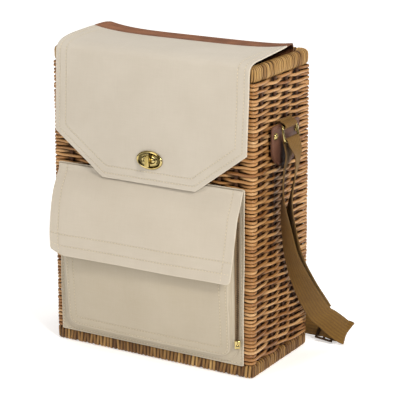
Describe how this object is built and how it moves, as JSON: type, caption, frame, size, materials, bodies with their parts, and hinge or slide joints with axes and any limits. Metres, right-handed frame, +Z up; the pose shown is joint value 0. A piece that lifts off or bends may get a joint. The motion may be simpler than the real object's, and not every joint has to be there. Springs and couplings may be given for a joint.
{
  "type": "picnic basket",
  "caption": "Tall wicker picnic case with a canvas flap over the top, a brass turn lock, a canvas front pocket and a webbing shoulder strap.",
  "frame": {"origin": "middle of the underside of the base, on the floor", "axes": "+Z up, the front with the flap and pocket faces -Y, +X is the viewer's right when facing the front"},
  "size_m": [0.3934, 0.2283, 0.4108],
  "materials": {
    "wicker": "varnished peeled willow rods",
    "cane_wrap": "split cane wrapping",
    "canvas": "heavy cotton canvas",
    "leather": "brown leather",
    "brass": "polished",
    "webbing": "ribbed cotton webbing",
    "zip_tape": "woven tape",
    "dark_metal": "dark bronze"
  },
  "bodies": {
    "basket": {"base_panel": "wicker", "woven_wall": "wicker", "bottom_border": "cane_wrap", "top_border": "cane_wrap", "flap": "canvas", "pocket_back": "canvas", "pocket_gusset": "canvas", "pocket_front": "canvas", "pocket_flap": "canvas", "back_band": "leather", "strap_patch_right": "leather", "strap_patch_left": "leather", "lock_plate": "brass", "lock_post": "brass", "zip_slider": "brass", "rivet_right_front": "brass", "rivet_right_back": "brass", "rivet_left_front": "brass", "rivet_left_back": "brass", "strap_ring_right": "brass", "strap_ring_left": "brass", "strap_tab_right": "webbing", "strap_tab_left": "webbing", "strap_loop": "webbing", "strap_main": "webbing", "zip_tape": "zip_tape", "strap_slider": "dark_metal"},
    "toggle": {"lock_toggle": "brass"}
  },
  "joints": [
    {"name": "lock_turn", "type": "hinge", "parent": "basket", "child": "toggle", "pos_m": [0.007, -0.0926, 0.269], "axis": [0, -1, 0], "range_deg": [0, 90]}
  ]
}
